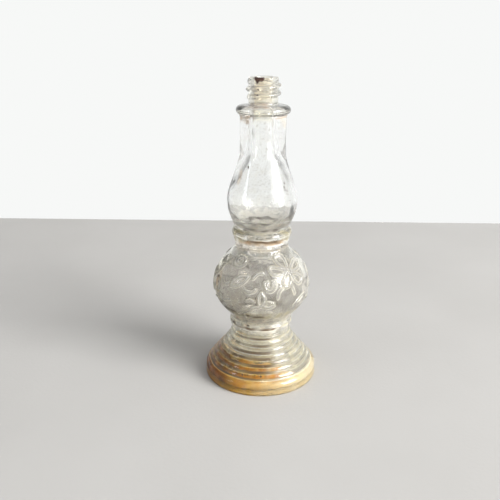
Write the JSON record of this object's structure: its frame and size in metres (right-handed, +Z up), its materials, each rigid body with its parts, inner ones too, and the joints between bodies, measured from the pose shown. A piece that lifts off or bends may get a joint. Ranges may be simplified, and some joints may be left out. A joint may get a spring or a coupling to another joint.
{
  "type": "lamp shaped glass bottle",
  "caption": "Small clear glass screw-top bottle shaped like an oil lamp: threaded mouth, pear-shaped chimney, flower-embossed globe and stepped round foot.",
  "frame": {"origin": "centre of the circle on which the foot stands, on the resting surface", "axes": "+Z up along the bottle's axis, from the foot to the mouth; -Y towards the side with the large embossed flower and the scrap on the lip"},
  "size_m": [0.0446, 0.0446, 0.115],
  "materials": {
    "clear_glass": "clear, polished, slightly grey, with faint seeds and drips",
    "globe_glass": "clear, gently uneven, hazed inside",
    "yellowed_glass": "clear glass stained pale yellow from inside",
    "amber_residue": "dried amber varnish-like film, patchy and streaked",
    "brown_residue": "dark brown dried scrap, dull and ragged"
  },
  "bodies": {
    "root": {"threaded_neck": "clear_glass", "upper_collar": "clear_glass", "chimney": "clear_glass", "lower_collar": "clear_glass", "globe": "globe_glass", "waist_ring": "globe_glass", "stepped_foot": "yellowed_glass", "foot_band": "yellowed_glass", "foot_floor": "yellowed_glass", "foot_residue": "amber_residue", "lip_residue": "brown_residue"}
  },
  "joints": []
}
